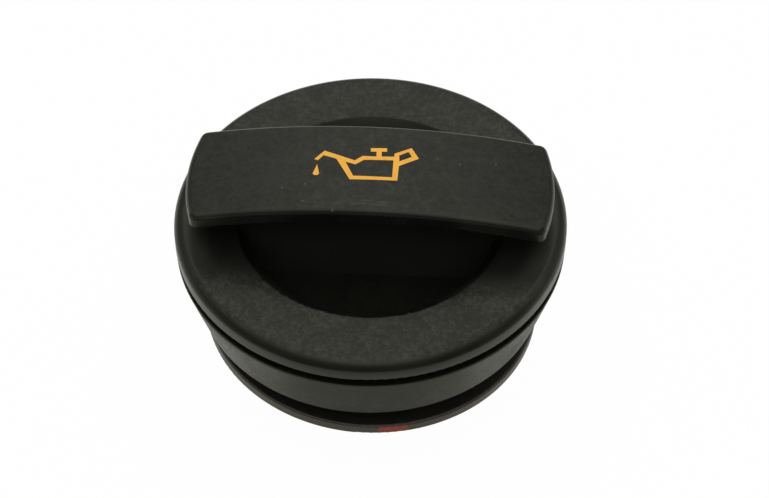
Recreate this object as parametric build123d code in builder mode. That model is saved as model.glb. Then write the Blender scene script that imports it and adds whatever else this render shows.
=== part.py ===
"""Engine oil filler cap: an upper shell with a bridge grip, a lower plug shell and a rubber seal."""

import os
from math import cos, radians, sin, tan

from build123d import *

# All sizes are millimetres. Z runs up the cap's axis from the foot of the neck, and X runs along the grip.

# Upper shell: a disc with a rounded rim that falls a little towards the bevelled edge of a finger dish
cap_radius = 32.5
disc_width = 10.0
disc_fall = 0.4
cover_thickness = 2.7
rim_wall = 3.0
rim_lap = 1.2
rim_round = 1.8
rim_foot_round = 0.25
dish_bevel = 1.9
dish_edge_round = 0.6

# Grip: an arched plate on a narrow web that bridges the dish, with the web cored from below
grip_crown = 10.45
grip_arch_radius = 134.5
grip_setback = 2.5
grip_width = 19.5
grip_plate = 2.9
grip_corner = 1.5
grip_edge_round = 1.2
grip_under_round = 0.3
grip_overhang = 3.5
web_width = 8.0
web_wall = 2.2
web_root_round = 1.2
core_roof = 5.4

# Lower shell: a cup that closes the dish, a tapered skirt round it and a boss for the seal
dish_depth = 11.5
cup_step = 0.4
wall = 2.2
reveal = 1.7
skirt_height = 10.6
skirt_taper = 2.95
skirt_edge_round = 0.25
boss_drop = 4.2

# Ribs that brace the neck, each with a tongue that centres the sealing ring
rib_count = 8
rib_width = 2.0
rib_setback = 0.5
tongue_drop = 1.2
tongue_chamfer = 0.8

# Sealing ring: it sits a little askew on the tongues, lower towards +X
seal_overhang = 5.3
seal_width = 7.6
seal_thickness = 2.1
seal_tilt = 1.6
seal_edge_round = 0.4

# Bayonet neck with two ramped lugs
neck_reach = 9.0
neck_inset = 3.8
neck_wall = 2.4
neck_foot_chamfer = 0.6
lug_count = 2
lug_reach = 2.8
lug_length = 19.0
lug_foot = 1.2
lug_height = 3.2
lug_ramp = 3.0
lug_round = 0.8

# Clearances
fit_clearance = 0.2
seal_clearance = 0.1
tongue_clearance = 0.15

# Radii, from the rim inwards
dish_edge_radius = cap_radius - disc_width
dish_radius = dish_edge_radius - dish_bevel
rim_inner_radius = cap_radius - rim_wall
seat_radius = rim_inner_radius - fit_clearance
grip_end_radius = cap_radius - grip_setback
web_end_radius = grip_end_radius - grip_overhang
skirt_foot_radius = cap_radius - skirt_taper
skirt_inner_radius = cap_radius - wall - skirt_taper * wall / skirt_height
cup_radius = dish_radius + cup_step
web_span_radius = cup_radius - fit_clearance
boss_radius = cup_radius + wall
seal_radius = boss_radius + seal_overhang
seal_bore_radius = seal_radius - seal_width
tongue_radius = seal_bore_radius - tongue_clearance
neck_radius = cup_radius - neck_inset
neck_bore_radius = neck_radius - neck_wall
neck_mid_radius = neck_radius - neck_wall / 2
lug_radius = neck_radius + lug_reach

# Heights, stacked up from the foot of the neck
seal_lean = radians(seal_tilt)
seal_foot = neck_reach
boss_foot = seal_foot + seal_thickness / cos(seal_lean) + boss_radius * tan(seal_lean) + seal_clearance
tongue_foot = seal_foot - seal_bore_radius * tan(seal_lean) - tongue_drop
rib_foot = boss_foot + rib_setback
skirt_foot = boss_foot + boss_drop
skirt_top = skirt_foot + skirt_height
skirt_roof = skirt_top - wall
rim_foot = skirt_top + reveal
cover_foot = rim_foot + rim_lap
seat_roof = cover_foot - wall
disc_top = cover_foot + cover_thickness
dish_edge = disc_top - disc_fall
dish_floor = disc_top - dish_depth
floor_foot = dish_floor - wall
rib_top = floor_foot + wall / 2
grip_top = disc_top + grip_crown
grip_rise = grip_top - cover_foot
arch_centre = grip_top - grip_arch_radius
core_height = grip_top - core_roof - dish_floor
lug_top = lug_foot + lug_height
lug_climb = radians(lug_ramp)

os.makedirs("parts", exist_ok=True)


def corner(section, radius, height):
    """The vertex of a turned section that lies at this radius and height."""
    return section.vertices().sort_by_distance((radius, height))[0]


# Space under the plate: everything below the arched underside except the web's own outline
with BuildPart() as undercut:
    with BuildSketch(Plane.XZ):
        with Locations((0, arch_centre)):
            Circle(grip_arch_radius - grip_plate)
        with Locations((0, cover_foot + grip_rise / 2)):
            Rectangle(2 * cap_radius, grip_rise, mode=Mode.INTERSECT)
    extrude(amount=grip_width, both=True)
    with BuildSketch(Plane.XY.offset(cover_foot)):
        Circle(web_end_radius)
        Rectangle(2 * web_end_radius, web_width, mode=Mode.INTERSECT)
    extrude(amount=grip_rise, mode=Mode.SUBTRACT)

# Bridge grip: plate and upper web, cut from one arched block
with BuildPart() as grip:
    with BuildSketch(Plane.XY.offset(cover_foot)) as plate_outline:
        Circle(grip_end_radius)
        Rectangle(2 * grip_end_radius, grip_width, mode=Mode.INTERSECT)
        fillet(plate_outline.vertices(), grip_corner)
    extrude(amount=grip_rise)
    with BuildSketch(Plane.XZ):
        with Locations((0, arch_centre)):
            Circle(grip_arch_radius)
    extrude(amount=grip_width, both=True, mode=Mode.INTERSECT)
    add(undercut.part, mode=Mode.SUBTRACT)
    crown_face = grip.faces().filter_by(GeomType.CYLINDER).sort_by(Axis.Z)[-1]
    fillet(crown_face.edges(), grip_edge_round)
    lower_face = grip.faces().filter_by(GeomType.CYLINDER).sort_by(Axis.Z)[-2]
    fillet(lower_face.outer_wire().edges(), grip_under_round)
    lower_face = grip.faces().filter_by(GeomType.CYLINDER).sort_by(Axis.Z)[-2]
    fillet(lower_face.inner_wires()[0].edges(), web_root_round)

# Upper shell: disc and rim as one turned section, with the grip and the web down to the dish floor
with BuildPart() as grip_cover:
    with BuildSketch(Plane.XZ) as disc_section:
        with BuildLine():
            Polyline(
                (dish_edge_radius, dish_edge),
                (cap_radius, disc_top),
                (cap_radius, rim_foot),
                (rim_inner_radius, rim_foot),
                (rim_inner_radius, cover_foot),
                (dish_radius, cover_foot),
                (dish_radius, dish_edge - dish_bevel),
                close=True,
            )
        make_face()
        fillet(corner(disc_section, dish_edge_radius, dish_edge), dish_edge_round)
        fillet(corner(disc_section, cap_radius, disc_top), rim_round)
        fillet(corner(disc_section, cap_radius, rim_foot), rim_foot_round)
    revolve(axis=Axis.Z)
    add(grip.part)
    with BuildSketch(Plane.XY.offset(dish_floor)):
        Circle(web_span_radius)
        Rectangle(2 * web_span_radius, web_width, mode=Mode.INTERSECT)
    extrude(amount=cover_foot - dish_floor)
    with BuildSketch(Plane.XY.offset(dish_floor)):
        Circle(dish_radius - web_wall)
        Rectangle(2 * dish_radius, web_width - 2 * web_wall, mode=Mode.INTERSECT)
    extrude(amount=core_height, mode=Mode.SUBTRACT)

# Rib between neck and boss: its lower tongue centres the sealing ring
with BuildPart() as rib:
    with BuildSketch(Plane.XZ):
        with BuildLine():
            Polyline(
                (neck_mid_radius, rib_top),
                (boss_radius - wall / 2, rib_top),
                (boss_radius - wall / 2, rib_foot),
                (tongue_radius, rib_foot),
                (tongue_radius, tongue_foot + tongue_chamfer),
                (tongue_radius - tongue_chamfer, tongue_foot),
                (neck_mid_radius, tongue_foot),
                close=True,
            )
        make_face()
    extrude(amount=rib_width / 2, both=True)

# Bayonet lug: a block outside the neck whose upper face climbs along the turn
with BuildPart() as lug:
    with BuildSketch(Plane.XY.offset(lug_foot)) as lug_outline:
        Circle(lug_radius)
        with Locations((lug_radius, 0)):
            Rectangle(2 * lug_radius, lug_length, mode=Mode.INTERSECT)
        Circle(neck_mid_radius, mode=Mode.SUBTRACT)
        fillet(lug_outline.vertices().group_by(Axis.X)[-1], lug_round)
    extrude(amount=2 * lug_height)
    ramp_plane = Plane(origin=(0, 0, lug_top), z_dir=(0, -sin(lug_climb), cos(lug_climb)))
    split(bisect_by=ramp_plane, keep=Keep.BOTTOM)

# Lower shell: one turned section with the ribs and lugs set round it
with BuildPart() as plug_body:
    with BuildSketch(Plane.XZ) as plug_section:
        with BuildLine():
            Polyline(
                (0, dish_floor),
                (cup_radius, dish_floor),
                (cup_radius, cover_foot),
                (seat_radius, cover_foot),
                (seat_radius, skirt_top),
                (cap_radius, skirt_top),
                (skirt_foot_radius, skirt_foot),
                (skirt_foot_radius - wall, skirt_foot),
                (skirt_inner_radius, skirt_roof),
                (seat_radius - wall, skirt_roof),
                (seat_radius - wall, seat_roof),
                (boss_radius, seat_roof),
                (boss_radius, boss_foot),
                (cup_radius, boss_foot),
                (cup_radius, floor_foot),
                (neck_radius, floor_foot),
                (neck_radius, 0),
                (neck_bore_radius, 0),
                (neck_bore_radius, floor_foot),
                (0, floor_foot),
                close=True,
            )
        make_face()
        fillet(corner(plug_section, cap_radius, skirt_top), skirt_edge_round)
        fillet(corner(plug_section, skirt_foot_radius, skirt_foot), skirt_edge_round)
        chamfer(corner(plug_section, neck_radius, 0), neck_foot_chamfer)
    revolve(axis=Axis.Z)
    with PolarLocations(0, rib_count, start_angle=180 / rib_count):
        add(rib.part)
    with PolarLocations(0, lug_count):
        add(lug.part)

# Sealing ring: flat rubber, drawn on its own tilted plane
seal_plane = Plane(
    origin=(0, 0, seal_foot),
    x_dir=(cos(seal_lean), 0, -sin(seal_lean)),
    z_dir=(sin(seal_lean), 0, cos(seal_lean)),
)
with BuildPart() as sealing_ring:
    with BuildSketch(seal_plane):
        Circle(seal_radius)
        Circle(seal_bore_radius, mode=Mode.SUBTRACT)
    extrude(amount=seal_thickness)
    fillet(sealing_ring.edges(), seal_edge_round)

grip_cover.part.label = "grip_cover"
plug_body.part.label = "plug_body"
sealing_ring.part.label = "sealing_ring"

export_step(grip_cover.part, "parts/grip_cover.step")
export_step(plug_body.part, "parts/plug_body.step")
export_step(sealing_ring.part, "parts/sealing_ring.step")
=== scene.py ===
"""Studio picture of an engine oil filler cap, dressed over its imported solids."""

from math import cos, pi, radians, sin, sqrt, tan

import bmesh
import bpy
from mathutils import Matrix, Vector


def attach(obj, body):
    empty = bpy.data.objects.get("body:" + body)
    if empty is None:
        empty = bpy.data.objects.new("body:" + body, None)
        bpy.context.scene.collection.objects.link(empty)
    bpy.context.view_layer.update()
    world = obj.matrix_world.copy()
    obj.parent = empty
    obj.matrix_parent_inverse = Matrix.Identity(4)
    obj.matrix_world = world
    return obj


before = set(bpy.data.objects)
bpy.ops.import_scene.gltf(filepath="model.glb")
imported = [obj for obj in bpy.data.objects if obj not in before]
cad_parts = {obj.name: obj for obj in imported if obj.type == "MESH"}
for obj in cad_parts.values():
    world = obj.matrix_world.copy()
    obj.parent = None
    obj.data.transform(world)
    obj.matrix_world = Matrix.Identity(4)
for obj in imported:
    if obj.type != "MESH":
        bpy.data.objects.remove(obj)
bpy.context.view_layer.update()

MM = 0.001
WHITE = (1, 1, 1, 1)

# Sizes of the part that the looks follow, in millimetres
CAP_RADIUS = 32.5
DISC_TOP = 32.249
SKIRT_TOP = 26.649
GRIP_TOP = 42.699
GRIP_ARCH_RADIUS = 134.5
ARCH_CENTRE = GRIP_TOP - GRIP_ARCH_RADIUS
GRIP_END_RADIUS = 30.0
GRIP_HALF_WIDTH = 9.75
SEAL_FOOT = 9.0
SEAL_RADIUS = 28.5
SEAL_LEAN = radians(1.6)

# Camera: worked out from the photograph's outlines, about a point on the axis, in millimetres
CAMERA_AIM_HEIGHT = 32.694
CAMERA_DISTANCE = 350.0
CAMERA_ELEVATION = radians(48.58)
CAMERA_ROLL = radians(0.17)
CAMERA_RIGHT = 2.32
CAMERA_DOWN = 6.66
CAMERA_YAW = radians(3.45)
CAMERA_CLIP_METRES = (0.01, 100)
PHOTO_WIDTH = 769
FOCAL_PIXELS = 2122.3
SENSOR_WIDTH = 36.0

# Light: a long soft box overhead that leaves the front dim. A pair of directions says where a change starts
# and ends, and the levels under it say from what to what, or else it goes from 0 to 1.
SKY_AMBIENT = 0.08
SKY_BOX = 1.31
BOX_MIDDLE = -0.02
BOX_TOP_LEVEL = 1.25
BOX_ASIDE = (0, 0.48)
BOX_ASIDE_LEVELS = (1, 0.4)
BOX_FAR_ASIDE = (0.5, 0.9)
BOX_FAR_ASIDE_LEVELS = (0, 0.25)
BOX_FRONT_UP = (0.22, 0.95)
BOX_FRONT_UP_LEVELS = (0, BOX_TOP_LEVEL)
BOX_FRONT_ASIDE = (0, 0.8)
BOX_FRONT_ASIDE_LEVELS = (1, 0.45)
BOX_BACK_UP = (0.25, 1)
BOX_BACK_UP_LEVELS = (0.4, BOX_TOP_LEVEL)
BOX_BEHIND = (-0.1, 0.4)

# Low curved card in front, in millimetres, which glows from its dark middle to its pale ends
CARD_RADIUS = 63.0
CARD_FOOT = 0.1
CARD_HEIGHT = 31.0
CARD_STEPS = 64
CARD_SPREAD = radians(110)
CARD_DEPTH_METRES = (-CARD_RADIUS * MM, 0.3 * CARD_RADIUS * MM)
CARD_DEPTH_LEVELS = (0, 0.8)

# Paper floor: how white it is when seen, and how much of it gloss shows from the front round to the sides
FLOOR_SIZE_METRES = 40
FLOOR_PAPER = (0.88, 0.88, 0.82, 1)
FLOOR_MIRRORED = (0.97, 1, 0.87, 1)
FLOOR_SEEN = 0.98
FLOOR_BEARING = (-1, -0.6)
FLOOR_BEARING_LEVELS = (0, 0.55)

# Colours: cover, body and seal each blend a black and a pale dusty colour, and tint their gloss. The pale
# colour also carries painted light, and a smaller share of it painted shade.
COVER_BLACK = (0.0045, 0.0047, 0.0041, 1)
COVER_PALE = (0.1, 0.099, 0.084, 1)
COVER_TINT = (0.97, 1, 0.78, 1)
BODY_BLACK = (0.005, 0.0051, 0.0046, 1)
BODY_PALE = (0.1, 0.098, 0.08, 1)
BODY_TINT = (0.96, 1, 0.64, 1)
SEAL_BLACK = (0.0075, 0.0074, 0.006, 1)
SEAL_PALE = (0.14, 0.116, 0.085, 1)
SEAL_TINT = (1, 0.93, 0.78, 1)

# Gloss and roughness of each material, how far its noises swing the roughness, and the mottle's part in the
# cover's relief
COVER_GLOSS = 0.26
COVER_ROUGHNESS = 0.3
COVER_ROUGHNESS_LEAST = 0.29
COVER_ROUGHNESS_PATCHES = 0.1
COVER_ROUGHNESS_MOTTLE = 0.15
COVER_RELIEF_MOTTLE = 0.6
BODY_GLOSS = 0.24
BODY_ROUGHNESS = 0.42
BODY_ROUGHNESS_SWING = 0.3
SEAL_GLOSS = 0.68
SEAL_ROUGHNESS = 0.45
SEAL_ROUGHNESS_MOTTLE = 0.16
SEAL_ROUGHNESS_PATCHES = 0.1
PAINT_GLOSS = 0.2
PAINT_ROUGHNESS_SWING = 0.2
SIGN_ROUGHNESS = 0.45
DAB_ROUGHNESS = 0.5

# Share of the pale colour all over each material, or of the thin colour in paint, and how far its noises
# swing it
COVER_SHARE = 0.085
COVER_SHARE_PATCHES = 0.13
COVER_SPECKLE_BLOTCHES = 0.4
COVER_SPECKLE_MOTTLE = 0.65
COVER_SPECKLE_GRAIN = 0.75
COVER_SPECKLE_LEAST = -0.075
BODY_SHARE = 0.02
BODY_SHARE_SWING = 0.06
BODY_SPECKLE_MOTTLE = 0.7
BODY_SPECKLE_PATCHES = 0.3
SEAL_SHARE = 0.03
SEAL_SHARE_MOTTLE = 0.1
SEAL_SHARE_PATCHES = 0.06
PAINT_THIN = 0.25
PAINT_THIN_MOTTLE = 0.9
PAINT_THIN_PATCHES = 0.7
PAINT_THIN_SPAN = (0.2, 0.8)

# Marks on the cover. A pair says where a mark starts and where it is full, in millimetres up (UP), out from
# the axis (OUT), along the grip (ALONG) or across it (ACROSS), or by how far a face looks up (FACING).
# SHARE is what the mark adds to the share of the pale colour. The broad ones were set to the photograph's
# tones, and most of them are painted light and painted shade, as marked below.
PLATE_UP = (DISC_TOP + 3, DISC_TOP + 4)
GRAIN_ACROSS = (12.5, 18)
GRAIN_FACING = (0.75, 0.95)
GRIP_GRAIN_ALONG = (6, 16)
GRIP_GRAIN_KEPT = (0.66, 0.36)
# Painted shade: the disc darker near the grip, where its shadow falls.
GRIP_SHADE_ACROSS = (10, 15.5)
GRIP_SHADE_OUT = (32.3, 31.5)
GRIP_SHADE_SHARE = -0.03
# Painted light: a paler ring near the rim inside the grip's painted shade.
NEAR_RIM_LIGHT_INNER_OUT = (26.5, 29.5)
NEAR_RIM_LIGHT_OUTER_OUT = (31.4, 30.2)
NEAR_RIM_LIGHT_SHARE = 0.17
# Painted light: a paler patch on the disc in front of the grip's right end.
FRONT_LIGHT_NEAR_ACROSS = (-11.5, -15)
FRONT_LIGHT_FAR_ACROSS = (-22, -17)
FRONT_LIGHT_ALONG = (10, 18)
FRONT_LIGHT_SHARE = 0.07
# Painted shade: the plate's side faces darker, least at its left end.
FLANK_SHADE_FACING = (0.92, 0.5)
FLANK_SHADE_ALONG = (-20, -8)
FLANK_SHADE_LOSS = (0.25, 0.85)
PLATE_SIDE_ACROSS = (GRIP_HALF_WIDTH - 0.9, GRIP_HALF_WIDTH - 0.4)
PLATE_END_OUT = (GRIP_END_RADIUS - 0.9, GRIP_END_RADIUS - 0.4)
RUBBED_PATCHES = (0.4, 0.7)
RUBBED_SHARE = 0.06
RUBBED_ROUGHNESS = -0.08
# Painted reflection: the lower part of the rim's wall paler.
RIM_REFLECTION_OUT = (CAP_RADIUS - 0.7, CAP_RADIUS - 0.2)
RIM_REFLECTION_UP = (DISC_TOP - 1.7, DISC_TOP - 3.4)
RIM_REFLECTION_SHARE = 0.3
# Painted shade: the dish's bevel darker.
BEVEL_SHADE_UP = (DISC_TOP - 0.4, DISC_TOP - 0.8)
BEVEL_SHADE_OUTER_OUT = (23, 22.3)
BEVEL_SHADE_INNER_OUT = (20.2, 20.6)
BEVEL_SHADE_SHARE = -0.07
# Dust and painted light: the dish a little paler below its bevel.
DISH_DUST_AND_LIGHT_UP = (DISC_TOP - 1.5, DISC_TOP - 4)
DISH_DUST_AND_LIGHT_OUT = (22, 20)
DISH_DUST_AND_LIGHT_SHARE = 0.02
# Painted light: the web under the grip paler in its shade.
WEB_LIGHT_ACROSS = (5.2, 4.6)
WEB_LIGHT_UP = (38, 35)
WEB_LIGHT_OUT = (28, 27)
WEB_LIGHT_SHARE = 0.09

# Marks on the body and the sealing ring, given in the same way
SKIRT_OUT = (24, 26)
SKIRT_UP = (SKIRT_TOP - 0.2, SKIRT_TOP - 0.6)
# Painted highlight: the skirt's top edge paler.
SKIRT_HIGHLIGHT_OUT = (CAP_RADIUS - 0.3, CAP_RADIUS - 0.1)
SKIRT_HIGHLIGHT_UP = (SKIRT_TOP - 0.45, SKIRT_TOP - 0.2)
SKIRT_HIGHLIGHT_SHARE = 0.45
# Dust and painted light: the body paler in its shaded groove.
GROOVE_DUST_AND_LIGHT_OUTER_OUT = (29.5, 28.9)
GROOVE_DUST_AND_LIGHT_INNER_OUT = (22, 23)
GROOVE_DUST_AND_LIGHT_SHARE = 0.1
# Painted light: the sealing ring's outer wall paler below its top.
SEAL_LIP_UP = (SEAL_FOOT + 1.7, SEAL_FOOT + 2)
SEAL_WALL_LIGHT_OUT = (SEAL_RADIUS - 0.25, SEAL_RADIUS - 0.05)
SEAL_WALL_LIGHT_SHARE = 0.27

# Wear on the grip, in millimetres from the middle of the plate: a rubbed streak of fibres and small nicks
STREAK_MIDDLE = (-0.4, -7.9)
STREAK_HALF_SIZE = (8.5, 0.9)
STREAK_HALF_HEIGHT = 1e6
STREAK_FADE = (1, 0.2)
STREAK_WEAR = 0.45
FIBRE_SQUEEZE = (0.25, 2, 1)
FIBRE_FADE = (0.4, 0.65)
NICKS = [
    (-13.9, -4.7), (-10.2, -4.0), (-10.3, -7.7), (10.8, 2.8), (14.5, 2.0), (20.3, 3.1), (-5.4, -9.4),
]
NICK_RADIUS = 0.22
NICK_FADE = (NICK_RADIUS, 0.3 * NICK_RADIUS)
WORN_SHARE = 0.8

# Oil-can sign on the grip, in millimetres from the middle of the sign's own frame
SIGN_MIDDLE = (0.05, -0.53)
SIGN_CAN = [
    (-9.2, 2.0), (-8.6, 1.75), (-7.75, 2.9), (-5.6, 2.1), (-3.15, -2.4), (4.5, -2.25), (4.6, 1.0),
    (7.75, 2.95), (6.45, 5.2), (3.75, 3.7), (3.75, 3.0), (1.7, 2.9), (1.65, 4.0), (2.52, 4.05),
    (2.48, 4.82), (-0.15, 4.68), (-0.12, 3.9), (0.8, 3.95), (0.85, 2.85), (-1.4, 2.85), (-2.6, 1.8),
    (-7.65, 3.9),
]
SIGN_BODY_HOLE = [(-4.1, 1.5), (-2.45, 0.92), (-1.1, 2.0), (3.65, 2.18), (3.65, -1.6), (-2.65, -1.6)]
SIGN_HANDLE_HOLE = [(4.52, 3.35), (6.0, 4.3), (6.6, 3.22), (4.62, 2.05)]
SIGN_DROP = [(-8.63, 0.85), (-9.22, -1.2), (-8.92, -1.55), (-8.42, -1.55), (-8.16, -1.2)]
SIGN_INK = (0.97, 0.49, 0.068, 1)
SIGN_INK_THIN = (0.7, 0.33, 0.04, 1)

# Paint dab on the sealing ring's edge: along the edge from its middle, and up from the ring's foot
DAB_TURN = radians(-79.2)
DAB = [(-2.35, 0.5), (-1.2, 0.42), (2.3, 0.45), (2.45, 1.1), (2.2, 1.8), (-2.3, 1.82), (-2.5, 1.1)]
DAB_PAINT = (0.3, 0.07, 0.045, 1)
DAB_PAINT_THIN = (0.14, 0.03, 0.022, 1)

# Printed layers, in millimetres: how far they stand out, how far they reach in and how finely they bend
PRINT_PROUD = 0.03
PRINT_SUNK = 0.05
PRINT_STEP = 0.8

# Numbers of a Mix node's sockets when it blends colours: three inputs and the output
MIX_SHARE = 0
MIX_FIRST = 6
MIX_SECOND = 7
MIX_COLOUR = 2


class Graph:
    """Short calls that add nodes to one node tree."""

    def __init__(self, tree):
        self.nodes = tree.nodes
        self.links = tree.links

    def feed(self, socket, value):
        """Link a socket to another node's output, or set it to a fixed value."""
        if isinstance(value, bpy.types.NodeSocket):
            self.links.new(value, socket)
        else:
            socket.default_value = value

    def math(self, operation, first, second=0.0):
        """One math node on one or two values."""
        node = self.nodes.new("ShaderNodeMath")
        node.operation = operation
        self.feed(node.inputs[0], first)
        self.feed(node.inputs[1], second)
        return node.outputs[0]

    def product(self, first, *others):
        """Values multiplied with one another."""
        total = first
        for value in others:
            total = self.math("MULTIPLY", total, value)
        return total

    def plus(self, total, value, amount):
        """A total plus an amount times a value."""
        return self.math("ADD", total, self.math("MULTIPLY", value, amount))

    def without(self, share):
        """What a share leaves of one."""
        return self.math("SUBTRACT", 1, share)

    def vector(self, operation, first, second=(0, 0, 0)):
        """One vector math node on one or two vectors."""
        node = self.nodes.new("ShaderNodeVectorMath")
        node.operation = operation
        self.feed(node.inputs[0], first)
        self.feed(node.inputs[1], second)
        return node.outputs["Vector"]

    def length(self, vector):
        """Length of a vector."""
        node = self.nodes.new("ShaderNodeVectorMath")
        node.operation = "LENGTH"
        self.links.new(vector, node.inputs[0])
        return node.outputs["Value"]

    def from_axis(self, place):
        """Distance of a place from the Z axis."""
        return self.length(self.vector("MULTIPLY", place, (1, 1, 0)))

    def split(self, vector):
        """The three numbers of a vector."""
        node = self.nodes.new("ShaderNodeSeparateXYZ")
        self.links.new(vector, node.inputs[0])
        return node.outputs[:]

    def coordinates(self, kind):
        """Texture coordinates of one kind."""
        return self.nodes.new("ShaderNodeTexCoord").outputs[kind]

    def place_in_set(self, kind):
        """Coordinates in the studio set, which is turned about Z to stand square to the photograph."""
        node = self.nodes.new("ShaderNodeVectorRotate")
        node.rotation_type = "Z_AXIS"
        node.inputs["Angle"].default_value = -CAMERA_YAW
        self.links.new(self.coordinates(kind), node.inputs["Vector"])
        return node.outputs[0]

    def ramp(self, value, span, levels=(0, 1)):
        """Smooth change of a value, from the first level at the span's start to the second at its end."""
        node = self.nodes.new("ShaderNodeMapRange")
        node.interpolation_type = "SMOOTHSTEP"
        for name, number in zip(("From Min", "From Max", "To Min", "To Max"), (*span, *levels)):
            node.inputs[name].default_value = number
        self.links.new(value, node.inputs["Value"])
        return node.outputs["Result"]

    def within(self, *limits):
        """Mask that is full where each value has passed its own span."""
        return self.product(*(self.ramp(value, span) for value, span in limits))

    def noise(self, place, size, detail):
        """Noise about a half, with features of this size."""
        node = self.nodes.new("ShaderNodeTexNoise")
        node.inputs["Scale"].default_value = 1 / size
        node.inputs["Detail"].default_value = detail
        self.links.new(place, node.inputs["Vector"])
        return node.outputs["Fac"]

    def vary(self, base, *changes):
        """A base number plus noises about a half, each times its own amount."""
        total = base
        for value, amount in changes:
            swing = self.math("MULTIPLY", self.math("SUBTRACT", value, 0.5), amount)
            total = self.math("ADD", swing, total)
        return total

    def blend(self, share, first, second):
        """Colour between two colours."""
        node = self.nodes.new("ShaderNodeMix")
        node.data_type = "RGBA"
        self.feed(node.inputs[MIX_SHARE], share)
        node.inputs[MIX_FIRST].default_value = first
        node.inputs[MIX_SECOND].default_value = second
        return node.outputs[MIX_COLOUR]

    def bump(self, height, strength, depth):
        """Surface normal bent by a height of this depth in millimetres."""
        node = self.nodes.new("ShaderNodeBump")
        node.inputs["Strength"].default_value = strength
        node.inputs["Distance"].default_value = depth * MM
        self.links.new(height, node.inputs["Height"])
        return node.outputs["Normal"]


def new_material(name):
    """A new node material, its graph and the sockets of its Principled shader."""
    material = bpy.data.materials.new(name)
    material.use_nodes = True
    graph = Graph(material.node_tree)
    return material, graph, graph.nodes["Principled BSDF"].inputs


def place_on_part(graph):
    """Place on the part in millimetres."""
    return graph.vector("DIVIDE", graph.coordinates("Object"), (MM, MM, MM))


def facing_up(graph):
    """How far the surface faces up, from -1 to 1."""
    return graph.split(graph.nodes.new("ShaderNodeNewGeometry").outputs["Normal"])[2]


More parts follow.
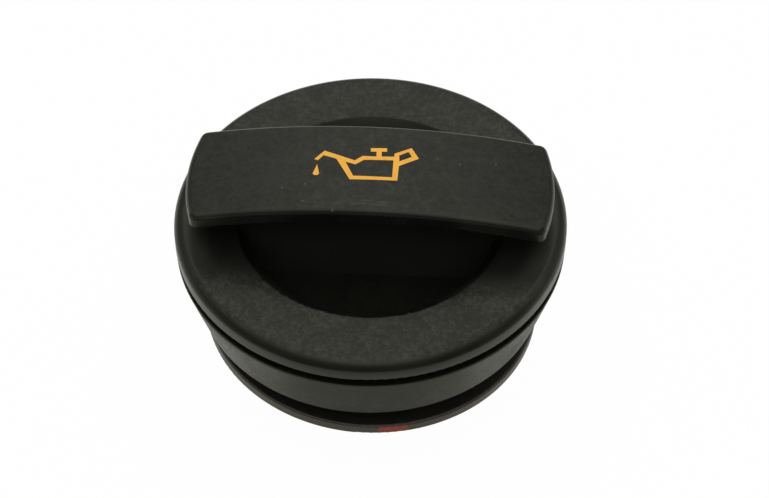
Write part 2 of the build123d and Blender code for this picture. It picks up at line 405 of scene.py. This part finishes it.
def cover_plastic():
    """Satin black upper moulding: mould grain, rubbed edges, a streak and nicks on the grip, dust and
    painted light in the dish, painted shade by the grip, on its sides and on the bevel, and painted light
    on the disc, rim and web.
    """
    material, graph, shader = new_material("cover_plastic")
    place = place_on_part(graph)
    along, across, height = graph.split(place)
    off_middle = graph.math("ABSOLUTE", across)
    radius = graph.from_axis(place)
    facing = facing_up(graph)
    mottle = graph.noise(place, size=1.0, detail=2)
    blotches = graph.noise(place, size=2.6, detail=2)
    patches = graph.noise(place, size=9, detail=3)
    grain = graph.noise(place, size=0.32, detail=3)

    # Mould grain on the open faces that look up, partly worn away on the grip
    on_plate = graph.ramp(height, PLATE_UP)
    open_top = graph.math("MAXIMUM", on_plate, graph.ramp(off_middle, GRAIN_ACROSS))
    open_top = graph.product(graph.ramp(facing, GRAIN_FACING), open_top)
    speckle = graph.vary(
        0, (blotches, COVER_SPECKLE_BLOTCHES), (mottle, COVER_SPECKLE_MOTTLE), (grain, COVER_SPECKLE_GRAIN)
    )
    kept = graph.ramp(graph.math("ABSOLUTE", along), GRIP_GRAIN_ALONG, GRIP_GRAIN_KEPT)
    calm = graph.product(on_plate, graph.without(kept))
    speckle = graph.product(speckle, open_top, graph.without(calm))
    speckle = graph.math("MAXIMUM", speckle, COVER_SPECKLE_LEAST)
    pale = graph.math("ADD", graph.vary(COVER_SHARE, (patches, COVER_SHARE_PATCHES)), speckle)

    # Painted shade on the disc where the grip's shadow falls, with a painted light ring near the rim, a
    # painted light patch in front, and painted shade on the plate's side faces
    grip_shade = graph.without(graph.math("MAXIMUM", on_plate, graph.ramp(off_middle, GRIP_SHADE_ACROSS)))
    grip_shade = graph.product(grip_shade, graph.ramp(radius, GRIP_SHADE_OUT))
    pale = graph.plus(pale, grip_shade, GRIP_SHADE_SHARE)
    near_rim_light = graph.within((radius, NEAR_RIM_LIGHT_INNER_OUT), (radius, NEAR_RIM_LIGHT_OUTER_OUT))
    pale = graph.plus(pale, graph.product(grip_shade, near_rim_light), NEAR_RIM_LIGHT_SHARE)
    front_light = graph.within((across, FRONT_LIGHT_NEAR_ACROSS), (across, FRONT_LIGHT_FAR_ACROSS), (along, FRONT_LIGHT_ALONG))
    pale = graph.plus(pale, graph.product(front_light, graph.without(on_plate)), FRONT_LIGHT_SHARE)
    flank_shade = graph.product(on_plate, graph.ramp(facing, FLANK_SHADE_FACING))
    flank_shade = graph.product(flank_shade, graph.ramp(along, FLANK_SHADE_ALONG, FLANK_SHADE_LOSS))
    pale = graph.product(pale, graph.without(flank_shade))

    # Rubbed edges of the plate, and a painted reflection on the lower wall of the rim
    plate_side = graph.ramp(off_middle, PLATE_SIDE_ACROSS)
    plate_edge = graph.math("MAXIMUM", plate_side, graph.ramp(radius, PLATE_END_OUT))
    rubbed = graph.product(plate_edge, on_plate, graph.ramp(patches, RUBBED_PATCHES))
    pale = graph.plus(pale, rubbed, RUBBED_SHARE)
    pale = graph.plus(pale, graph.within((radius, RIM_REFLECTION_OUT), (height, RIM_REFLECTION_UP)), RIM_REFLECTION_SHARE)

    # Streak and nicks on the plate
    streak_place = graph.vector("SUBTRACT", place, (*STREAK_MIDDLE, 0))
    streak_place = graph.vector("DIVIDE", streak_place, (*STREAK_HALF_SIZE, STREAK_HALF_HEIGHT))
    fibres = graph.noise(graph.vector("MULTIPLY", place, FIBRE_SQUEEZE), size=0.5, detail=3)
    streak = graph.within((graph.length(streak_place), STREAK_FADE), (fibres, FIBRE_FADE))
    worn = graph.product(streak, STREAK_WEAR)
    for nick in NICKS:
        offset = graph.vector("SUBTRACT", place, (*nick, 0))
        worn = graph.math("MAXIMUM", worn, graph.ramp(graph.from_axis(offset), NICK_FADE))
    pale = graph.plus(pale, graph.product(worn, on_plate), WORN_SHARE)

    # Painted shade on the dish's bevel, dust and painted light below it, and painted light on the shaded
    # web
    bevel_shade = graph.within((height, BEVEL_SHADE_UP), (radius, BEVEL_SHADE_OUTER_OUT), (radius, BEVEL_SHADE_INNER_OUT))
    pale = graph.plus(pale, bevel_shade, BEVEL_SHADE_SHARE)
    pale = graph.plus(pale, graph.within((height, DISH_DUST_AND_LIGHT_UP), (radius, DISH_DUST_AND_LIGHT_OUT)), DISH_DUST_AND_LIGHT_SHARE)
    web_light = graph.within((off_middle, WEB_LIGHT_ACROSS), (height, WEB_LIGHT_UP), (radius, WEB_LIGHT_OUT))
    pale = graph.plus(pale, web_light, WEB_LIGHT_SHARE)
    graph.feed(shader["Base Color"], graph.blend(pale, COVER_BLACK, COVER_PALE))

    texture = graph.product(graph.vary(0, (mottle, COVER_ROUGHNESS_MOTTLE)), open_top)
    roughness = graph.vary(COVER_ROUGHNESS, (patches, COVER_ROUGHNESS_PATCHES))
    roughness = graph.math("MAXIMUM", graph.math("ADD", roughness, texture), COVER_ROUGHNESS_LEAST)
    graph.feed(shader["Roughness"], graph.plus(roughness, rubbed, RUBBED_ROUGHNESS))
    shader["Specular IOR Level"].default_value = COVER_GLOSS
    shader["Specular Tint"].default_value = COVER_TINT
    relief = graph.product(graph.plus(grain, mottle, COVER_RELIEF_MOTTLE), open_top)
    graph.feed(shader["Normal"], graph.bump(relief, strength=0.1, depth=0.05))
    return material


def body_plastic():
    """Satin black lower moulding: smoother than the cover, with dust and painted light in its groove and a
    painted highlight on its edge.
    """
    material, graph, shader = new_material("body_plastic")
    place = place_on_part(graph)
    height = graph.split(place)[2]
    radius = graph.from_axis(place)
    mottle = graph.noise(place, size=0.7, detail=3)
    patches = graph.noise(place, size=7, detail=3)
    grain = graph.noise(place, size=0.3, detail=2)
    speckle = graph.vary(0, (mottle, BODY_SPECKLE_MOTTLE), (patches, BODY_SPECKLE_PATCHES))
    speckle = graph.product(speckle, graph.within((radius, SKIRT_OUT), (height, SKIRT_UP)))
    pale = graph.vary(BODY_SHARE, (mottle, BODY_SHARE_SWING), (patches, BODY_SHARE_SWING))
    pale = graph.math("ADD", pale, speckle)
    # Dust and painted light in the groove
    groove = graph.within((radius, GROOVE_DUST_AND_LIGHT_OUTER_OUT), (radius, GROOVE_DUST_AND_LIGHT_INNER_OUT))
    pale = graph.plus(pale, groove, GROOVE_DUST_AND_LIGHT_SHARE)
    # Painted highlight on the skirt's top edge
    edge = graph.within((radius, SKIRT_HIGHLIGHT_OUT), (height, SKIRT_HIGHLIGHT_UP))
    pale = graph.plus(pale, edge, SKIRT_HIGHLIGHT_SHARE)
    graph.feed(shader["Base Color"], graph.blend(pale, BODY_BLACK, BODY_PALE))
    swings = ((mottle, BODY_ROUGHNESS_SWING), (patches, BODY_ROUGHNESS_SWING))
    graph.feed(shader["Roughness"], graph.vary(BODY_ROUGHNESS, *swings))
    shader["Specular IOR Level"].default_value = BODY_GLOSS
    shader["Specular Tint"].default_value = BODY_TINT
    graph.feed(shader["Normal"], graph.bump(graph.math("ADD", grain, mottle), strength=0.3, depth=0.05))
    return material


def seal_rubber():
    """Brownish black rubber with a dull, slightly dusty skin and painted light on its outer wall."""
    material, graph, shader = new_material("seal_rubber")
    place = place_on_part(graph)
    along, _, height = graph.split(place)
    mottle = graph.noise(place, size=0.9, detail=4)
    patches = graph.noise(place, size=6, detail=3)
    grain = graph.noise(place, size=0.25, detail=2)
    # Painted light on the ring's outer wall below its top
    lip = graph.ramp(graph.plus(height, along, tan(SEAL_LEAN)), SEAL_LIP_UP)
    edge = graph.product(graph.ramp(graph.from_axis(place), SEAL_WALL_LIGHT_OUT), graph.without(lip))
    pale = graph.vary(SEAL_SHARE, (mottle, SEAL_SHARE_MOTTLE), (patches, SEAL_SHARE_PATCHES))
    pale = graph.plus(pale, edge, SEAL_WALL_LIGHT_SHARE)
    graph.feed(shader["Base Color"], graph.blend(pale, SEAL_BLACK, SEAL_PALE))
    swings = ((mottle, SEAL_ROUGHNESS_MOTTLE), (patches, SEAL_ROUGHNESS_PATCHES))
    graph.feed(shader["Roughness"], graph.vary(SEAL_ROUGHNESS, *swings))
    shader["Specular IOR Level"].default_value = SEAL_GLOSS
    shader["Specular Tint"].default_value = SEAL_TINT
    graph.feed(shader["Normal"], graph.bump(grain, strength=0.2, depth=0.06))
    return material


def paint(name, full, thin, roughness):
    """Printed or dabbed colour that is a little thinner in places."""
    material, graph, shader = new_material(name)
    place = place_on_part(graph)
    mottle = graph.noise(place, size=0.4, detail=3)
    patches = graph.noise(place, size=2.5, detail=2)
    share = graph.vary(PAINT_THIN, (mottle, PAINT_THIN_MOTTLE), (patches, PAINT_THIN_PATCHES))
    share = graph.ramp(share, PAINT_THIN_SPAN)
    graph.feed(shader["Base Color"], graph.blend(share, full, thin))
    graph.feed(shader["Roughness"], graph.vary(roughness, (mottle, PAINT_ROUGHNESS_SWING)))
    shader["Specular IOR Level"].default_value = PAINT_GLOSS
    graph.feed(shader["Normal"], graph.bump(mottle, strength=0.15, depth=0.03))
    return material


def dress(node, material):
    """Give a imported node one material."""
    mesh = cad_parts[node].data
    mesh.materials.clear()
    mesh.materials.append(material)


def add_object(name, mesh, material):
    """Put a finished mesh into the scene as an object of one material."""
    data = bpy.data.meshes.new(name)
    mesh.to_mesh(data)
    mesh.free()
    data.materials.append(material)
    added = bpy.data.objects.new(name, data)
    bpy.context.scene.collection.objects.link(added)
    return added


def on_grip(x, y, offset):
    """Point over the arched plate, from a place in the sign's own frame."""
    x += SIGN_MIDDLE[0]
    return Vector((x, y + SIGN_MIDDLE[1], ARCH_CENTRE + sqrt(GRIP_ARCH_RADIUS**2 - x * x) + offset))


def on_seal(x, y, offset):
    """Point over the sealing ring's edge, from a place along that edge and up from the ring's foot."""
    around = DAB_TURN + x / SEAL_RADIUS
    reach = SEAL_RADIUS + offset
    level = Vector((reach * cos(around), reach * sin(around), y))
    return Matrix.Rotation(SEAL_LEAN, 3, "Y") @ level + Vector((0, 0, SEAL_FOOT))


def add_print(name, outlines, carry, material):
    """A thin printed layer: flat outlines, filled, given a thickness and carried onto a curved face."""
    mesh = bmesh.new()
    edges = []
    for outline in outlines:
        corners = [mesh.verts.new((x, y, 0)) for x, y in outline]
        edges += [mesh.edges.new((a, b)) for a, b in zip(corners, corners[1:] + corners[:1])]
    bmesh.ops.triangle_fill(mesh, edges=edges, use_beauty=True, normal=(0, 0, 1))
    while True:
        long_edges = [e for e in mesh.edges if abs(e.verts[0].co.x - e.verts[1].co.x) > PRINT_STEP]
        if not long_edges:
            break
        bmesh.ops.subdivide_edges(mesh, edges=long_edges, cuts=1)
        bmesh.ops.triangulate(mesh, faces=mesh.faces)
    solid = bmesh.ops.extrude_face_region(mesh, geom=mesh.faces[:])
    raised = {v for v in solid["geom"] if isinstance(v, bmesh.types.BMVert)}
    for vertex in mesh.verts:
        offset = PRINT_PROUD if vertex in raised else -PRINT_SUNK
        vertex.co = carry(vertex.co.x, vertex.co.y, offset) * MM
    bmesh.ops.recalc_face_normals(mesh, faces=mesh.faces)
    layer = add_object(name, mesh, material)
    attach(layer, "root")


def add_camera():
    """Camera at the photograph's viewing angle."""
    right = Vector((1, 0, 0))
    up = Vector((0, sin(CAMERA_ELEVATION), cos(CAMERA_ELEVATION)))
    forward = Vector((0, cos(CAMERA_ELEVATION), -sin(CAMERA_ELEVATION)))
    rolled_right = cos(CAMERA_ROLL) * right - sin(CAMERA_ROLL) * up
    rolled_up = sin(CAMERA_ROLL) * right + cos(CAMERA_ROLL) * up
    place = CAMERA_RIGHT * rolled_right - CAMERA_DOWN * rolled_up - CAMERA_DISTANCE * forward
    turn = Matrix.Rotation(CAMERA_YAW, 4, "Z")
    pose = Matrix((rolled_right, rolled_up, -forward)).transposed().to_4x4()
    pose.translation = place * MM
    lift = Matrix.Translation((0, 0, CAMERA_AIM_HEIGHT * MM))
    data = bpy.data.cameras.new("camera")
    data.sensor_fit = "HORIZONTAL"
    data.sensor_width = SENSOR_WIDTH
    data.lens = FOCAL_PIXELS * SENSOR_WIDTH / PHOTO_WIDTH
    data.clip_start, data.clip_end = CAMERA_CLIP_METRES
    camera = bpy.data.objects.new("camera", data)
    camera.matrix_world = lift @ turn @ pose
    bpy.context.scene.collection.objects.link(camera)
    bpy.context.scene.camera = camera


def shine_only(name):
    """A material with no shader yet, its graph and the socket that its surface goes to."""
    material, graph, _ = new_material(name)
    graph.nodes.remove(graph.nodes["Principled BSDF"])
    return material, graph, graph.nodes["Material Output"].inputs["Surface"]


def add_floor():
    """White paper floor that keeps the part's shadow."""
    bpy.ops.mesh.primitive_plane_add(size=FLOOR_SIZE_METRES)
    floor = bpy.context.object
    floor.name = "floor"
    material, graph, surface = shine_only("floor_paper")
    paper = graph.nodes.new("ShaderNodeBsdfDiffuse")
    paper.inputs["Color"].default_value = FLOOR_PAPER
    glow = graph.nodes.new("ShaderNodeEmission")
    rays = graph.nodes.new("ShaderNodeLightPath").outputs
    graph.feed(glow.inputs["Color"], graph.blend(rays["Is Glossy Ray"], WHITE, FLOOR_MIRRORED))
    seen = graph.math("MAXIMUM", rays["Is Camera Ray"], rays["Is Transmission Ray"])
    seen = graph.product(seen, FLOOR_SEEN)
    bearing = graph.split(graph.vector("NORMALIZE", graph.place_in_set("Object")))[1]
    around = graph.ramp(bearing, FLOOR_BEARING, FLOOR_BEARING_LEVELS)
    mirrored = graph.product(rays["Is Glossy Ray"], around)
    mix = graph.nodes.new("ShaderNodeMixShader")
    graph.feed(mix.inputs["Fac"], graph.math("MAXIMUM", seen, mirrored))
    graph.links.new(paper.outputs[0], mix.inputs[1])
    graph.links.new(glow.outputs[0], mix.inputs[2])
    graph.links.new(mix.outputs[0], surface)
    floor.data.materials.append(material)


def add_card():
    """Low curved card in front, dark in the middle and pale at its ends, which only gloss shows."""
    mesh = bmesh.new()
    columns = []
    for step in range(CARD_STEPS + 1):
        around = CAMERA_YAW - pi / 2 + CARD_SPREAD * (2 * step / CARD_STEPS - 1)
        foot = Vector((CARD_RADIUS * cos(around), CARD_RADIUS * sin(around), CARD_FOOT))
        top = foot + Vector((0, 0, CARD_HEIGHT))
        columns.append((mesh.verts.new(foot * MM), mesh.verts.new(top * MM)))
    for left, right in zip(columns, columns[1:]):
        mesh.faces.new((left[0], right[0], right[1], left[1]))
    material, graph, surface = shine_only("card_grey")
    grey = graph.nodes.new("ShaderNodeEmission")
    grey.inputs["Color"].default_value = WHITE
    depth = graph.split(graph.place_in_set("Object"))[1]
    graph.feed(grey.inputs["Strength"], graph.ramp(depth, CARD_DEPTH_METRES, CARD_DEPTH_LEVELS))
    graph.links.new(grey.outputs[0], surface)
    card = add_object("front_card", mesh, material)
    card.visible_camera = False
    card.visible_diffuse = False
    card.visible_shadow = False


def add_light():
    """Long soft box overhead in a dim tent."""
    world = bpy.data.worlds.new("tent")
    bpy.context.scene.world = world
    world.use_nodes = True
    graph = Graph(world.node_tree)
    sideways, depth, up = graph.split(graph.place_in_set("Generated"))
    aside = graph.math("ABSOLUTE", graph.math("SUBTRACT", sideways, BOX_MIDDLE))
    side = graph.ramp(aside, BOX_ASIDE, BOX_ASIDE_LEVELS)
    side = graph.math("ADD", side, graph.ramp(aside, BOX_FAR_ASIDE, BOX_FAR_ASIDE_LEVELS))
    back = graph.product(graph.ramp(up, BOX_BACK_UP, BOX_BACK_UP_LEVELS), side)
    front_side = graph.ramp(aside, BOX_FRONT_ASIDE, BOX_FRONT_ASIDE_LEVELS)
    front = graph.product(graph.ramp(up, BOX_FRONT_UP, BOX_FRONT_UP_LEVELS), front_side)
    front_to_back = graph.math("SUBTRACT", back, front)
    level = graph.plus(front, front_to_back, graph.ramp(depth, BOX_BEHIND))
    strength = graph.math("ADD", graph.product(level, SKY_BOX), SKY_AMBIENT)
    background = graph.nodes["Background"]
    background.inputs["Color"].default_value = WHITE
    graph.feed(background.inputs["Strength"], strength)


add_camera()
dress("grip_cover", cover_plastic())
dress("plug_body", body_plastic())
dress("sealing_ring", seal_rubber())
sign_outlines = (SIGN_CAN, SIGN_BODY_HOLE, SIGN_HANDLE_HOLE, SIGN_DROP)
sign_ink = paint("sign_ink", SIGN_INK, SIGN_INK_THIN, SIGN_ROUGHNESS)
add_print("oil_can_sign", sign_outlines, on_grip, sign_ink)
dab_paint = paint("dab_paint", DAB_PAINT, DAB_PAINT_THIN, DAB_ROUGHNESS)
add_print("seal_paint_dab", (DAB,), on_seal, dab_paint)
add_floor()
add_card()
add_light()

bpy.context.scene.view_settings.view_transform = "Standard"
